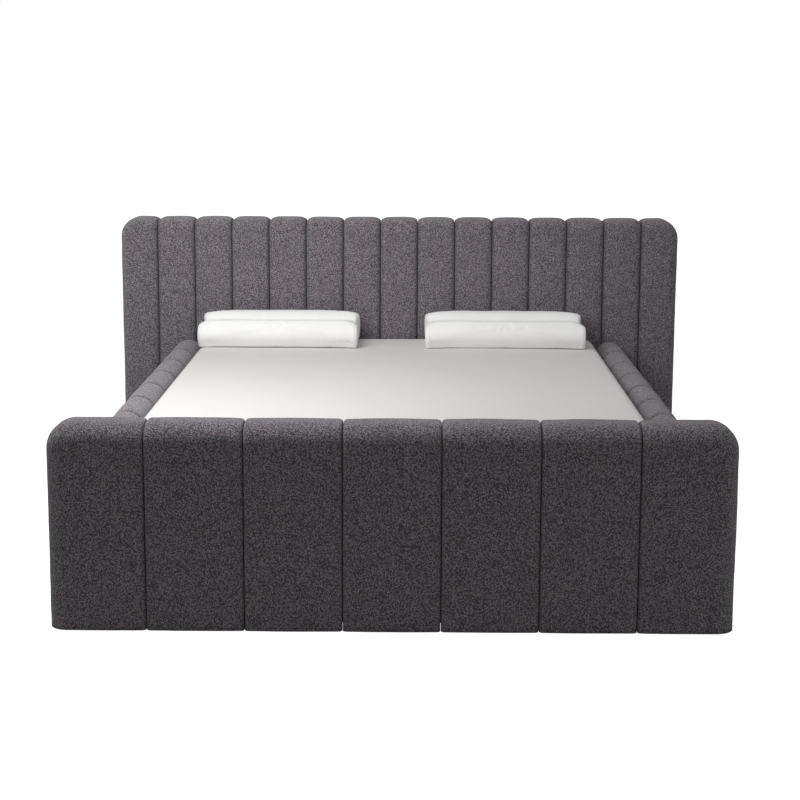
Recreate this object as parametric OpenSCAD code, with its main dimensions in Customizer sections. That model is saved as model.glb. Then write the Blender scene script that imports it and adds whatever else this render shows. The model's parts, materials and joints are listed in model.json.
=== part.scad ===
// Upholstered bed with a powered, jointed base inside it.
// The bed stands on z = 0 with its head towards +Y. Its origin is on the floor, at the middle of its footprint.
// The head section tilts up about one cross tube. The thigh section lifts about another,
// and carries the calf section, which a pair of links keeps level.
// All sizes are in millimetres.

/* [Mattress and pillows] */
// Width of the mattress
mattress_w = 1520; // [1400:10:1560]
// Length of the mattress
mattress_l = 2030; // [1980:10:2040]
// Thickness of the mattress
mattress_t = 250; // [200:5:260]
// Radius of the mattress's long edges
mattress_edge_r = 30; // [10:5:60]
// Width of each pillow
pillow_w = 600; // [500:10:640]
// Depth of each pillow, from its front lobe to its back lobe
pillow_d = 300; // [280:5:320]
// Height of a pillow's low front lobe
pillow_front_h = 94; // [70:2:110]
// Height of a pillow's high back lobe
pillow_back_h = 110; // [90:2:130]
// Height of the hollow between a pillow's lobes
pillow_hollow_h = 76; // [50:2:90]
// Centre of the left pillow, to the left of the bed's middle
pillow_left_x = 455; // [330:5:460]
// Centre of the right pillow, to the right of the bed's middle
pillow_right_x = 405; // [330:5:460]

/* [Headboard] */
// Width of the headboard
headboard_w = 2180; // [1900:10:2300]
// Height of the headboard
headboard_h = 980; // [800:10:1200]
// Number of upright channels across the headboard
headboard_channel_count = 15; // [9:2:19]

/* [Footboard] */
// Width of the footboard
footboard_w = 1900; // [1760:10:2100]
// Height of the footboard
footboard_h = 586; // [540:2:650]
// Number of upright channels across the footboard
footboard_channel_count = 7; // [5:2:11]

/* [Padding] */
// Thickness of the headboard and the footboard over their padding
panel_t = 130; // [120:5:150]
// Depth of a channel, from its crest to the board behind it
channel_d = 70; // [60:2:75]
// How far a channel's crest stands out from the seams beside it
channel_crown = 20; // [10:1:24]
// Padding over the top edge of a board
top_pad = 30; // [20:2:40]
// Padding over the side edges of a board
side_pad = 20; // [14:2:30]
// Radius of the upper corners of the headboard and the footboard
corner_r = 75; // [50:5:100]
// Thickness of the boards that the padding is stapled to
board_t = 15; // [12:1:18]
// Thickness of a fabric cover
cover_t = 3; // [2:1:4]
// Gap between the padded panels and the floor
floor_gap = 8; // [6:1:12]

/* [Side rails] */
// Height of the padded top of a side rail
rail_top = 505; // [500:5:560]
// Height of the bottom edge of a side rail
rail_bottom = 45; // [20:5:80]
// Thickness of a side rail over its padding
rail_t = 108; // [80:2:120]
// Thickness of the timber board in a side rail
rail_board_t = 22; // [18:1:26]
// Gap between the mattress and each side rail
rail_gap = 12; // [10:1:20]

/* [Deck] */
// Height of the deck that the mattress lies on
deck_top = 265; // [260:1:270]
// Width of the deck
deck_w = 1500; // [1400:10:1510]
// Length of the fixed seat section, from hinge to hinge
seat_l = 340; // [340:5:380]
// Length of the thigh section, from its hinge to the knee hinge
thigh_l = 360; // [320:5:380]
// Length of the calf section
calf_l = 570; // [560:5:600]
// Thickness of a deck board
deck_board_t = 18; // [15:1:18]
// Thickness of the fabric on a deck board
deck_cover_t = 2; // [1:1:2]
// Gap between a hinge line and the deck board beside it
hinge_gap = 24; // [24:1:30]

/* [Motion] */
// How far the head section tilts up, in degrees
head_angle = 60; // [45:5:60]
// How far the thigh section lifts, in degrees
thigh_angle = 35; // [25:5:35]
// Distance from a cross tube to the end of its lever
lever_r = 120; // [118:1:122]

/* [Steel] */
// Depth of the section arms below the deck boards
arm_h = 30; // [30:2:30]
// Width of a section arm
arm_w = 25; // [20:1:25]
// Size of the square chassis tubes
chassis_tube = 40; // [36:2:44]
// Height of the underside of the chassis tubes
chassis_z = 150; // [148:1:152]
// Distance from the bed's middle to the middle of each chassis side tube
chassis_x = 560; // [555:1:570]
// Diameter of the turning cross tubes
torque_d = 30; // [30:1:30]
// Diameter of a chassis leg
leg_d = 46; // [40:1:50]

/* [Hidden] */
$fn = 64;

// Small gaps: a running fit, a sliding fit, and soft parts that only just clear each other
running_gap = 0.05;
sliding_gap = 0.3;
soft_gap = 0.4;

// Colours
boucle_colour = "dimgray";
lining_colour = "darkslategray";
timber_colour = "burlywood";
board_colour = "tan";
steel_colour = "gray";
bright_colour = "silver";
plastic_colour = "#303236";
nylon_colour = "whitesmoke";
rubber_colour = "black";
mattress_colour = "ivory";
pillow_colour = "white";

// The surround, measured outwards from the mattress
inner_y = 1030;
outer_y = inner_y + panel_t;
rail_inner_x = mattress_w / 2 + rail_gap;
rail_outer_x = rail_inner_x + rail_t;
rail_mid_x = (rail_inner_x + rail_outer_x) / 2;
rail_roll_r = rail_t / 2 - 1;
rail_board_top = rail_top - rail_t / 2 - 6;
post_t = panel_t - channel_d - board_t - cover_t;
head_post_x = [-1010, -742, -250, 250, 742, 1010];
head_glide_x = [-1010, -250, 250, 1010];
foot_post_x = [-742, -250, 250, 742];
post_w = 64;
glide_d = 40;

// The y of each panel's layers: crest of the channels, face of the board, face of the posts, face of the cover
head_front = inner_y;
head_board_y = head_front + channel_d;
head_post_y = head_board_y + board_t;
head_cover_y = head_post_y + post_t;
foot_front = -outer_y;
foot_board_y = foot_front + channel_d;
foot_post_y = foot_board_y + board_t;
foot_cover_y = foot_post_y + post_t;

// The hinge lines. The deck boards lie on the arms, and the arms are level with the hinge lines.
deck_z = deck_top - deck_cover_t - deck_board_t;
hinge_z = deck_z - arm_h / 2;
foot_end_y = -mattress_l / 2;
knee_y = foot_end_y + calf_l;
thigh_y = knee_y + thigh_l;
head_y = thigh_y + seat_l;
deck_end_gap = 3;
deck_corner_r = 8;
knee_gap = 2;

// The arms stand side by side at the knee
head_arm_x = 500;
thigh_arm_x = 500;
calf_arm_x = thigh_arm_x - arm_w - 0.5;
arm_end_y = 985;
calf_arm_end_y = -985;
head_mid_tube_y = 620;
calf_mid_tube_y = -720;

// The links hang below the thigh arms and run parallel to them
link_drop = 50;
link_z = hinge_z - link_drop;
link_t = 8;
link_h = 20;
link_end_r = 14;
link_x = 448;
link_shaft_end = 6;
link_stud_end = 4;
link_shaft_r = 8;
link_stud_r = 6;
link_stud_gap = 0.3;
plate_t = 6;
plate_x = calf_arm_x - arm_w / 2 - plate_t;

// The levers and the drive
head_lever_x = 60;
leg_lever_x = -60;
lever_t = 8;
lever_half_w = 9;
hub_r = 24;
hub_w = 20;
pad_r = 12;
pad_w = 32;
torque_wall = 3;
torque_end = 18;
head_push_gap = 1.6;
leg_push_gap = 0.8;
head_rest_swing = -head_angle / 2;
leg_rest_swing = thigh_angle / 2;
head_pad_y = head_y + lever_r * sin(head_rest_swing);
leg_pad_y = thigh_y + lever_r * sin(leg_rest_swing);
case_half_w = 95;
case_wall = 3;
lid_t = 3;
case_z = 70;
case_top = chassis_z - lid_t;
case_y0 = -150;
case_y1 = 345;
hanger_t = 8;
hanger_half_w = 20;
hanger_foot = 5;
head_slot_half = 68;
leg_slot_half = 48;
bearing_wall_y = 30;
bearing_wall_t = 20;
screw_r = 7;
screw_z = 85;
block_l = 60;
block_half_w = 24;
block_top = 130;
fork_half_w = 8;
fork_l = 40;
fork_z = 95;
gearbox_w = 66;
gearbox_l = 40;
gearbox_z = 78;
gearbox_h = 66;
motor_r = 30;
motor_l = 110;
motor_offset = 35;

// A box given by its two corners
module span(low, high) {
    translate(low) cube(high - low);
}

// Whatever is given, and its mirror image on the other side of the bed
module both_sides() {
    children();
    mirror([1, 0, 0]) children();
}

// A round bar along X
module bar_x(x0, x1, y, z, r) {
    translate([x0, y, z]) rotate([0, 90, 0]) cylinder(h = x1 - x0, r = r);
}

// A round bar along Y
module bar_y(x, y0, y1, z, r) {
    translate([x, y0, z]) rotate([-90, 0, 0]) cylinder(h = y1 - y0, r = r);
}

// Stands an outline drawn in X and Z up, and gives it depth along Y
module stand(y0, y1) {
    translate([0, y1, 0]) rotate([90, 0, 0]) linear_extrude(y1 - y0) children();
}

// Runs an outline drawn in Y and Z across the bed, along X
module across(x0, x1) {
    translate([x0, 0, 0]) rotate([90, 0, 90]) linear_extrude(x1 - x0) children();
}

// An upright outline with its two top corners rounded
module top_rounded(w, z0, z1, r) {
    translate([-w / 2, z0]) square([w, z1 - z0 - r]);
    translate([-w / 2 + r, z0]) square([w - 2 * r, z1 - z0]);
    for (side = [-1, 1]) translate([side * (w / 2 - r), z1 - r]) circle(r);
}

// A rectangle with four round corners, centred on X
module rounded(w, z0, z1, r) {
    translate([-w / 2, z0 + r]) square([w, z1 - z0 - 2 * r]);
    translate([-w / 2 + r, z0]) square([w - 2 * r, z1 - z0]);
    for (side = [-1, 1], z = [z0 + r, z1 - r]) translate([side * (w / 2 - r), z]) circle(r);
}

// The outline of the boards and posts inside a padded panel
module core_outline(w, h) {
    top_rounded(w - 2 * side_pad, floor_gap, h - top_pad, corner_r - side_pad);
}

// One channel seen from above: straight sides, and a crowned face towards -Y
module channel_plan(x, w, y_front, y_back) {
    crown_r = (w * w / 4 + channel_crown * channel_crown) / (2 * channel_crown);
    intersection() {
        translate([x - w / 2, y_front]) square([w, y_back - y_front]);
        union() {
            translate([x, y_front + crown_r]) circle(r = crown_r, $fn = 128);
            translate([x - w / 2, y_front + channel_crown]) square([w, y_back - y_front]);
        }
    }
}

// A row of channels that wraps the top and the sides of a panel's core
module channels(w, h, count, y_front, y_back) {
    pitch = w / count;
    for (i = [0:count - 1]) difference() {
        intersection() {
            translate([0, 0, floor_gap]) linear_extrude(h - floor_gap)
                channel_plan(-w / 2 + (i + 0.5) * pitch, pitch - 1, y_front, y_back);
            stand(y_front, y_back) top_rounded(w, floor_gap, h, corner_r);
        }
        stand(y_front + channel_d, y_back + 1) core_outline(w, h);
        bolt_holes();
    }
}

// The bolts: their sizes, where they are and how far they reach into the timber
bolt_r = 4;
bolt_hole_r = 4.5;
bolt_head_r = 7;
bolt_head_h = 5;
bracket_t = 5;
bracket_leg = 60;
bracket_z0 = 80;
bracket_z1 = 230;
bolt_in_post = 34;
bolt_in_rail = 18;
hole_margin = 20;
end_bolt_x = rail_inner_x - bracket_leg / 2;
end_bolt_l = bracket_t + channel_d + board_t + bolt_in_post;
foot_bolt_l = bracket_t + cover_t + post_t + board_t;
side_bolt_y = inner_y - bracket_leg / 2 - bracket_t;
side_bolt_l = bracket_t + (rail_t - rail_board_t) / 2 + bolt_in_rail;
side_hole_end = rail_inner_x + side_bolt_l - bracket_t + 1;
tie_y = 600;
tie_bolt_z = 163;
bolt_z = [110, 200];

// The holes that the bolts need
module bolt_holes() {
    both_sides() {
        for (z = bolt_z) {
            bar_y(end_bolt_x, inner_y - hole_margin, head_post_y + bolt_in_post, z, bolt_hole_r);
            bar_y(end_bolt_x, foot_board_y, hole_margin - inner_y, z, bolt_hole_r);
            for (y = [-side_bolt_y, side_bolt_y])
                bar_x(rail_inner_x - hole_margin, side_hole_end, y, z, bolt_hole_r);
        }
        for (y = [-tie_y, tie_y])
            bar_x(rail_inner_x - hole_margin, side_hole_end, y, tie_bolt_z, bolt_hole_r);
    }
}

// A bolt along +X, with its head at the start
module bolt_along_x(x, y, z, l) {
    bar_x(x - bolt_head_h, x, y, z, bolt_head_r);
    bar_x(x, x + l, y, z, bolt_r);
}

// The headboard: channels over a board on posts, with a cover on the back
module headboard_board() {
    color(board_colour) difference() {
        stand(head_board_y, head_post_y) core_outline(headboard_w, headboard_h);
        bolt_holes();
    }
}

module headboard_channels() {
    color(boucle_colour)
        channels(headboard_w, headboard_h, headboard_channel_count, head_front, head_front + panel_t);
}

module headboard_back_cover() {
    color(lining_colour)
        stand(head_cover_y, head_cover_y + cover_t) core_outline(headboard_w, headboard_h);
}

// The footboard: the same, with its cover towards the mattress
module footboard_board() {
    color(board_colour) difference() {
        stand(foot_board_y, foot_post_y) core_outline(footboard_w, footboard_h);
        bolt_holes();
    }
}

module footboard_channels() {
    color(boucle_colour)
        channels(footboard_w, footboard_h, footboard_channel_count, foot_front, foot_front + panel_t);
}

module footboard_inner_cover() {
    color(boucle_colour) difference() {
        stand(foot_cover_y, foot_cover_y + cover_t) core_outline(footboard_w, footboard_h);
        bolt_holes();
    }
}

// Timber posts behind both boards
module surround_posts() {
    color(timber_colour) difference() {
        union() {
            intersection() {
                stand(head_post_y, head_cover_y) core_outline(headboard_w, headboard_h);
                for (x = head_post_x)
                    span([x - post_w / 2, head_post_y - 1, 0], [x + post_w / 2, head_cover_y + 1, headboard_h]);
            }
            intersection() {
                stand(foot_post_y, foot_cover_y) core_outline(footboard_w, footboard_h);
                for (x = foot_post_x)
                    span([x - post_w / 2, foot_post_y - 1, 0], [x + post_w / 2, foot_cover_y + 1, footboard_h]);
            }
        }
        bolt_holes();
    }
}

// One round glide
module glide(x, y) {
    translate([x, y, 0]) cylinder(h = floor_gap, d = glide_d);
}

// The six chassis legs stand at these places
leg_y = [-900, thigh_y + seat_l / 2, 900];

module at_legs() {
    both_sides() for (y = leg_y) translate([chassis_x, y, 0]) children();
}

// Glides under the posts and under the chassis legs
module floor_glides() {
    color(plastic_colour) {
        for (x = head_glide_x) glide(x, (head_post_y + head_cover_y) / 2);
        for (x = foot_post_x) glide(x, (foot_post_y + foot_cover_y) / 2);
        at_legs() glide(0, 0);
    }
}

// The timber board inside a side rail
module rail_board() {
    color(timber_colour) difference() {
        span([rail_mid_x - rail_board_t / 2, -inner_y, rail_bottom],
             [rail_mid_x + rail_board_t / 2, inner_y, rail_board_top]);
        bolt_holes();
    }
}

// Padding folded over that board, with a rolled top
module rail_pad() {
    color(boucle_colour) difference() {
        stand(-inner_y, inner_y) translate([rail_mid_x, 0])
            top_rounded(rail_t, rail_bottom, rail_top, rail_roll_r);
        span([rail_mid_x - rail_board_t / 2, -inner_y - 1, rail_bottom - 1],
             [rail_mid_x + rail_board_t / 2, inner_y + 1, rail_board_top]);
        bolt_holes();
    }
}

module rail_board_left() { mirror([1, 0, 0]) rail_board(); }
module rail_board_right() { rail_board(); }
module rail_pad_left() { mirror([1, 0, 0]) rail_pad(); }
module rail_pad_right() { rail_pad(); }

// Angle brackets in the four inner corners of the surround
module rail_brackets() {
    color(steel_colour) difference() {
        both_sides() for (side = [0, 1]) mirror([0, side, 0]) {
            span([rail_inner_x - bracket_leg, inner_y - bracket_t, bracket_z0],
                 [rail_inner_x, inner_y, bracket_z1]);
            span([rail_inner_x - bracket_t, inner_y - bracket_leg, bracket_z0],
                 [rail_inner_x, inner_y, bracket_z1]);
        }
        bolt_holes();
    }
}

// Bolts that hold the surround together and hold the chassis in it
module surround_bolts() {
    color(bright_colour) both_sides() {
        for (z = bolt_z) {
            translate([end_bolt_x, inner_y - bracket_t, z]) rotate([0, 0, 90])
                bolt_along_x(0, 0, 0, end_bolt_l);
            translate([end_bolt_x, -inner_y + bracket_t, z]) rotate([0, 0, -90])
                bolt_along_x(0, 0, 0, foot_bolt_l);
            for (y = [-side_bolt_y, side_bolt_y])
                bolt_along_x(rail_inner_x - bracket_t, y, z, side_bolt_l);
        }
        for (y = [-tie_y, tie_y]) bolt_along_x(rail_inner_x - bracket_t, y, tie_bolt_z, side_bolt_l);
    }
}

// The chassis: two long tubes, and cross tubes between them
chassis_l = 1960;
chassis_wall = 2;
cross_y = [960, 480, -620, -960];

module chassis_side_tubes() {
    bore_half = chassis_tube / 2 - chassis_wall;
    color(steel_colour) difference() {
        both_sides() span([chassis_x - chassis_tube / 2, -chassis_l / 2, chassis_z],
                          [chassis_x + chassis_tube / 2, chassis_l / 2, chassis_z + chassis_tube]);
        both_sides() span([chassis_x - bore_half, -chassis_l / 2 - 1, chassis_z + chassis_wall],
                          [chassis_x + bore_half, chassis_l / 2 + 1, chassis_z + chassis_tube - chassis_wall]);
    }
}

module chassis_cross_tubes() {
    half = chassis_tube / 2;
    inner_x = chassis_x - half;
    color(steel_colour) for (y = cross_y) difference() {
        span([-inner_x, y - half, chassis_z], [inner_x, y + half, chassis_z + chassis_tube]);
        span([-inner_x - 1, y - half + chassis_wall, chassis_z + chassis_wall],
             [inner_x + 1, y + half - chassis_wall, chassis_z + chassis_tube - chassis_wall]);
    }
}

module chassis_legs() {
    color(plastic_colour) at_legs() translate([0, 0, floor_gap])
        cylinder(h = chassis_z - floor_gap, d = leg_d);
}

// A plate on each side tube. It holds both cross-tube bushes, and the seat board lies on it.
hinge_plate_t = 8;
boss_r = 26;
bush_r = 19;
bush_l = 26;
buffer_d = 22;

module hinge_plates() {
    color(steel_colour) both_sides() difference() {
        across(chassis_x - hinge_plate_t / 2, chassis_x + hinge_plate_t / 2) {
            translate([thigh_y - boss_r, chassis_z + chassis_tube])
                square([seat_l + 2 * boss_r, hinge_z - chassis_z - chassis_tube]);
            translate([thigh_y, hinge_z]) circle(boss_r);
            translate([head_y, hinge_z]) circle(boss_r);
            translate([thigh_y, hinge_z - 1]) square([seat_l, deck_z - hinge_z + 1]);
        }
        for (y = [thigh_y, head_y]) bar_x(chassis_x - bush_l, chassis_x + bush_l, y, hinge_z, bush_r);
    }
}

module hinge_bushes() {
    color(nylon_colour) both_sides() for (y = [thigh_y, head_y]) difference() {
        bar_x(chassis_x - bush_l / 2, chassis_x + bush_l / 2, y, hinge_z, bush_r);
        bar_x(chassis_x - bush_l, chassis_x + bush_l, y, hinge_z, torque_d / 2 + running_gap);
    }
}

// Rubber buffers that the head and calf arms come down on
module deck_buffers() {
    low = chassis_z + chassis_tube;
    high = hinge_z - arm_h / 2 - sliding_gap;
    color(rubber_colour) both_sides() {
        translate([head_arm_x, cross_y[0], low]) cylinder(h = high - low, d = buffer_d);
        translate([calf_arm_x, cross_y[3], low]) cylinder(h = high - low, d = buffer_d);
    }
}

// Straps from the chassis side tubes to the side rails, bent down at both ends
tie_half_w = 20;
tie_top = 181;
tie_foot = 146;

module rail_ties() {
    tube_x = chassis_x + chassis_tube / 2;
    color(steel_colour) difference() {
        both_sides() for (y = [-tie_y, tie_y]) translate([0, y, 0]) {
            span([tube_x, -tie_half_w, tie_top - bracket_t], [rail_inner_x, tie_half_w, tie_top]);
            span([tube_x, -tie_half_w, chassis_z], [tube_x + bracket_t, tie_half_w, tie_top]);
            span([rail_inner_x - bracket_t, -tie_half_w, tie_foot], [rail_inner_x, tie_half_w, tie_top]);
        }
        bolt_holes();
    }
}

// Shafts that the links turn on, one on each side tube
module link_shafts() {
    color(bright_colour) both_sides()
        bar_x(link_x - link_t / 2 - link_shaft_end, chassis_x - chassis_tube / 2,
              thigh_y, link_z, link_shaft_r);
}

// One deck board, or the fabric on it, from y0 to y1
module deck_board(y0, y1) {
    color(board_colour) translate([0, 0, deck_z])
        linear_extrude(deck_board_t) rounded(deck_w, y0, y1, deck_corner_r);
}

module deck_fabric(y0, y1) {
    color(lining_colour) translate([0, 0, deck_z + deck_board_t])
        linear_extrude(deck_cover_t) rounded(deck_w, y0, y1, deck_corner_r);
}

module seat_board() { deck_board(thigh_y + hinge_gap, head_y - hinge_gap); }
module seat_cover() { deck_fabric(thigh_y + hinge_gap, head_y - hinge_gap); }

// The drive case: a tray with a bearing wall for the two screws, hung on both cross tubes
module drive_case() {
    color(plastic_colour) difference() {
        union() {
            difference() {
                span([-case_half_w, case_y0, case_z], [case_half_w, case_y1, case_top]);
                span([-case_half_w + case_wall, case_y0 + case_wall, case_z + case_wall],
                     [case_half_w - case_wall, case_y1 - case_wall, case_top + 1]);
            }
            span([-case_half_w + 1, bearing_wall_y, case_z + 1],
                 [case_half_w - 1, bearing_wall_y + bearing_wall_t, case_top]);
            both_sides() for (y = [thigh_y, head_y])
                across(case_half_w, case_half_w + hanger_t) {
                    translate([y - hanger_half_w, case_z + hanger_foot])
                        square([2 * hanger_half_w, hinge_z - case_z - hanger_foot]);
                    translate([y, hinge_z]) circle(hub_r);
                }
        }
        bar_y(head_lever_x, bearing_wall_y - 1, case_y1 + 1, screw_z, screw_r + running_gap);
        bar_y(leg_lever_x, case_y0 - 1, bearing_wall_y + bearing_wall_t + 1, screw_z, screw_r + running_gap);
        for (y = [thigh_y, head_y])
            bar_x(-2 * case_half_w, 2 * case_half_w, y, hinge_z, torque_d / 2 + running_gap);
    }
}

// Its lid, with a slot for each lever
module drive_lid() {
    color(plastic_colour) difference() {
        span([-case_half_w, case_y0, case_top], [case_half_w, case_y1, chassis_z]);
        span([head_lever_x - hub_w / 2, head_y - head_slot_half, case_top - 1],
             [head_lever_x + hub_w / 2, head_y + head_slot_half, chassis_z + 1]);
        span([leg_lever_x - hub_w / 2, thigh_y - leg_slot_half, case_top - 1],
             [leg_lever_x + hub_w / 2, thigh_y + leg_slot_half, chassis_z + 1]);
    }
}

// A geared motor on each side of the case, beside the bearing wall
module drive_motors() {
    y0 = bearing_wall_y - 5;
    y1 = y0 + gearbox_l;
    color(steel_colour) both_sides() {
        span([case_half_w, y0, gearbox_z], [case_half_w + gearbox_w, y1, gearbox_z + gearbox_h]);
        bar_y(case_half_w + motor_offset, y1, y1 + motor_l, gearbox_z + gearbox_h / 2, motor_r);
    }
}

// Electronics on the cross tube under the head section: a control box with five sockets in its back,
// and a power supply with an inlet in its side
box_y = cross_y[1] + chassis_tube / 2;
control_low = [-420, box_y, 138];
control_size = [200, 120, 48];
socket_first_x = -390;
socket_pitch = 30;
socket_size = [16, 11, 16];
socket_rise = 14;
socket_y = box_y + control_size[1] - 10;
supply_low = [230, box_y, 130];
supply_size = [170, 90, 56];
inlet_size = [11, 27, 20];
inlet_place = [160, 30, 16];

module control_box() {
    color(plastic_colour) difference() {
        translate(control_low) cube(control_size);
        for (i = [0:4])
            translate([socket_first_x + i * socket_pitch, socket_y, control_low[2] + socket_rise])
                cube(socket_size);
    }
}

module power_supply() {
    color(plastic_colour) difference() {
        translate(supply_low) cube(supply_size);
        translate(supply_low + inlet_place) cube(inlet_size);
    }
}

// A block that runs on its screw inside the case. Its fork straddles the lever, and its cheeks push the rub pad.
// It is drawn round its own push face, which faces +Y at y = 0.
module push_block() {
    difference() {
        span([-block_half_w, -block_l, case_z + case_wall + sliding_gap], [block_half_w, 0, block_top]);
        span([-fork_half_w, -fork_l, fork_z], [fork_half_w, 1, block_top + 1]);
        bar_y(0, -block_l - 1, 1, screw_z, screw_r + running_gap);
    }
}

module head_push_block() {
    color(nylon_colour) translate([head_lever_x, head_pad_y - pad_r - head_push_gap, 0]) push_block();
}

module leg_push_block() {
    color(nylon_colour) translate([leg_lever_x, leg_pad_y + pad_r + leg_push_gap, 0])
        mirror([0, 1, 0]) push_block();
}

module head_screw() {
    color(bright_colour) bar_y(head_lever_x, bearing_wall_y, case_y1, screw_z, screw_r);
}

module leg_screw() {
    color(bright_colour) bar_y(leg_lever_x, case_y0, bearing_wall_y + bearing_wall_t, screw_z, screw_r);
}

// A cross tube that turns in the bushes
module torque_tube(y) {
    half = chassis_x + torque_end;
    color(bright_colour) difference() {
        bar_x(-half, half, y, hinge_z, torque_d / 2);
        bar_x(-half - 1, half + 1, y, hinge_z, torque_d / 2 - torque_wall);
    }
}

module head_torque_tube() { torque_tube(head_y); }
module leg_torque_tube() { torque_tube(thigh_y); }

// A lever under a cross tube, swung from straight down by the given angle towards +Y
module lever(x, y, swing) {
    color(steel_colour) translate([x, y, hinge_z]) rotate([swing, 0, 0]) difference() {
        union() {
            across(-hub_w / 2, hub_w / 2) circle(hub_r);
            across(-lever_t / 2, lever_t / 2) {
                translate([-lever_half_w, -lever_r]) square([2 * lever_half_w, lever_r]);
                translate([0, -lever_r]) circle(lever_half_w);
            }
            bar_x(-pad_w / 2, pad_w / 2, 0, -lever_r, pad_r);
        }
        bar_x(-hub_w, hub_w, 0, 0, torque_d / 2);
    }
}

module head_lever() { lever(head_lever_x, head_y, head_rest_swing); }
module leg_lever() { lever(leg_lever_x, thigh_y, leg_rest_swing); }

// The head section: arms on its cross tube, cross tubes between them, a board and its fabric
module head_arms() {
    color(steel_colour) both_sides() difference() {
        span([head_arm_x - arm_w / 2, head_y, deck_z - arm_h], [head_arm_x + arm_w / 2, arm_end_y, deck_z]);
        bar_x(head_arm_x - arm_w, head_arm_x + arm_w, head_y, hinge_z, torque_d / 2);
    }
}

module section_cross_tube(half, y) {
    span([-half, y - arm_w / 2, deck_z - arm_h], [half, y + arm_w / 2, deck_z]);
}

module head_cross_tubes() {
    color(steel_colour) for (y = [head_mid_tube_y, arm_end_y - arm_w / 2])
        section_cross_tube(head_arm_x - arm_w / 2, y);
}

module head_board() { deck_board(head_y + hinge_gap, mattress_l / 2 - deck_end_gap); }
module head_cover() { deck_fabric(head_y + hinge_gap, mattress_l / 2 - deck_end_gap); }

// The thigh section: its arms reach the knee, where they carry pins
knee_pin_r = 6;
knee_pin_head_r = 10;
knee_pin_head_t = 5;

module thigh_arms() {
    color(steel_colour) both_sides() difference() {
        across(thigh_arm_x - arm_w / 2, thigh_arm_x + arm_w / 2) {
            translate([knee_y, deck_z - arm_h]) square([thigh_l, arm_h]);
            translate([knee_y, hinge_z]) circle(arm_h / 2);
        }
        bar_x(thigh_arm_x - arm_w, thigh_arm_x + arm_w, thigh_y, hinge_z, torque_d / 2);
        bar_x(thigh_arm_x - arm_w, thigh_arm_x + arm_w, knee_y, hinge_z, knee_pin_r);
    }
}

module knee_pins() {
    color(bright_colour) both_sides() {
        bar_x(calf_arm_x - arm_w / 2, thigh_arm_x + arm_w / 2, knee_y, hinge_z, knee_pin_r);
        translate([thigh_arm_x + arm_w / 2, 0, 0]) bar_x(0, knee_pin_head_t, knee_y, hinge_z, knee_pin_head_r);
    }
}

module thigh_board() { deck_board(knee_y + knee_gap, thigh_y - hinge_gap); }
module thigh_cover() { deck_fabric(knee_y + knee_gap, thigh_y - hinge_gap); }

// The calf section: arms beside the thigh arms, hung on the knee pins
module calf_arms() {
    color(steel_colour) both_sides() difference() {
        across(calf_arm_x - arm_w / 2, calf_arm_x + arm_w / 2) {
            translate([calf_arm_end_y, deck_z - arm_h]) square([knee_y - calf_arm_end_y, arm_h]);
            translate([knee_y, hinge_z]) circle(arm_h / 2);
        }
        bar_x(calf_arm_x - arm_w, calf_arm_x + arm_w, knee_y, hinge_z, knee_pin_r + running_gap);
    }
}

module calf_cross_tubes() {
    color(steel_colour) for (y = [calf_mid_tube_y, calf_arm_end_y + arm_w / 2])
        section_cross_tube(calf_arm_x - arm_w / 2, y);
}

// A plate inside each calf arm, with a stud for the link
module calf_link_plates() {
    color(steel_colour) both_sides() {
        across(plate_x, plate_x + plate_t) {
            translate([knee_y - link_end_r, link_z]) square([2 * link_end_r, link_drop]);
            for (z = [link_z, hinge_z]) translate([knee_y, z]) circle(link_end_r);
        }
        bar_x(link_x - link_t / 2 - link_stud_end, plate_x + 1, knee_y, link_z, link_stud_r);
    }
}

module calf_board() { deck_board(foot_end_y + deck_end_gap, knee_y - knee_gap); }
module calf_cover() { deck_fabric(foot_end_y + deck_end_gap, knee_y - knee_gap); }

// A bent rod at the foot end that keeps the mattress on the deck
retainer_r = 4;
retainer_half_w = 150;
retainer_y = foot_end_y - 6;
retainer_top = deck_top + 65;
retainer_z = deck_z - 8;

module mattress_retainer() {
    color(bright_colour) {
        bar_x(-retainer_half_w, retainer_half_w, retainer_y, retainer_top, retainer_r);
        both_sides() {
            translate([retainer_half_w, retainer_y, retainer_z])
                cylinder(h = retainer_top - retainer_z, r = retainer_r);
            bar_y(retainer_half_w, retainer_y, calf_arm_end_y, retainer_z, retainer_r);
            for (z = [retainer_z, retainer_top]) translate([retainer_half_w, retainer_y, z]) sphere(retainer_r);
        }
    }
}

// The links that keep the calf section level: as long as the thigh arms, and parallel to them
module calf_links() {
    color(steel_colour) both_sides() difference() {
        across(link_x - link_t / 2, link_x + link_t / 2) {
            translate([knee_y, link_z - link_h / 2]) square([thigh_l, link_h]);
            for (y = [knee_y, thigh_y]) translate([y, link_z]) circle(link_end_r);
        }
        bar_x(link_x - link_t, link_x + link_t, thigh_y, link_z, link_shaft_r + running_gap);
        bar_x(link_x - link_t, link_x + link_t, knee_y, link_z, link_stud_r + link_stud_gap);
    }
}

// The mattress is one soft slab. Here it is cut where it folds,
// into pieces that ride on the sections and wedges that the folds squeeze.
mattress_z = deck_top;
mattress_top = deck_top + mattress_t;
fold_margin = 1.5;

// How far a fold's face stands from its hinge line at height z
function fold_reach(z, angle) = (z - hinge_z) * tan(angle / 2) + fold_margin;

// A stretch of mattress between two slanted ends, given as the y of each end at its bottom and top
module mattress_piece(low_y, high_y) {
    intersection() {
        stand(foot_end_y - 1, mattress_l / 2 + 1) rounded(mattress_w, mattress_z, mattress_top, mattress_edge_r);
        across(-mattress_w, mattress_w) polygon([
            [low_y[0], mattress_z], [high_y[0], mattress_z], [high_y[1], mattress_top], [low_y[1], mattress_top]
        ]);
    }
}

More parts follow.
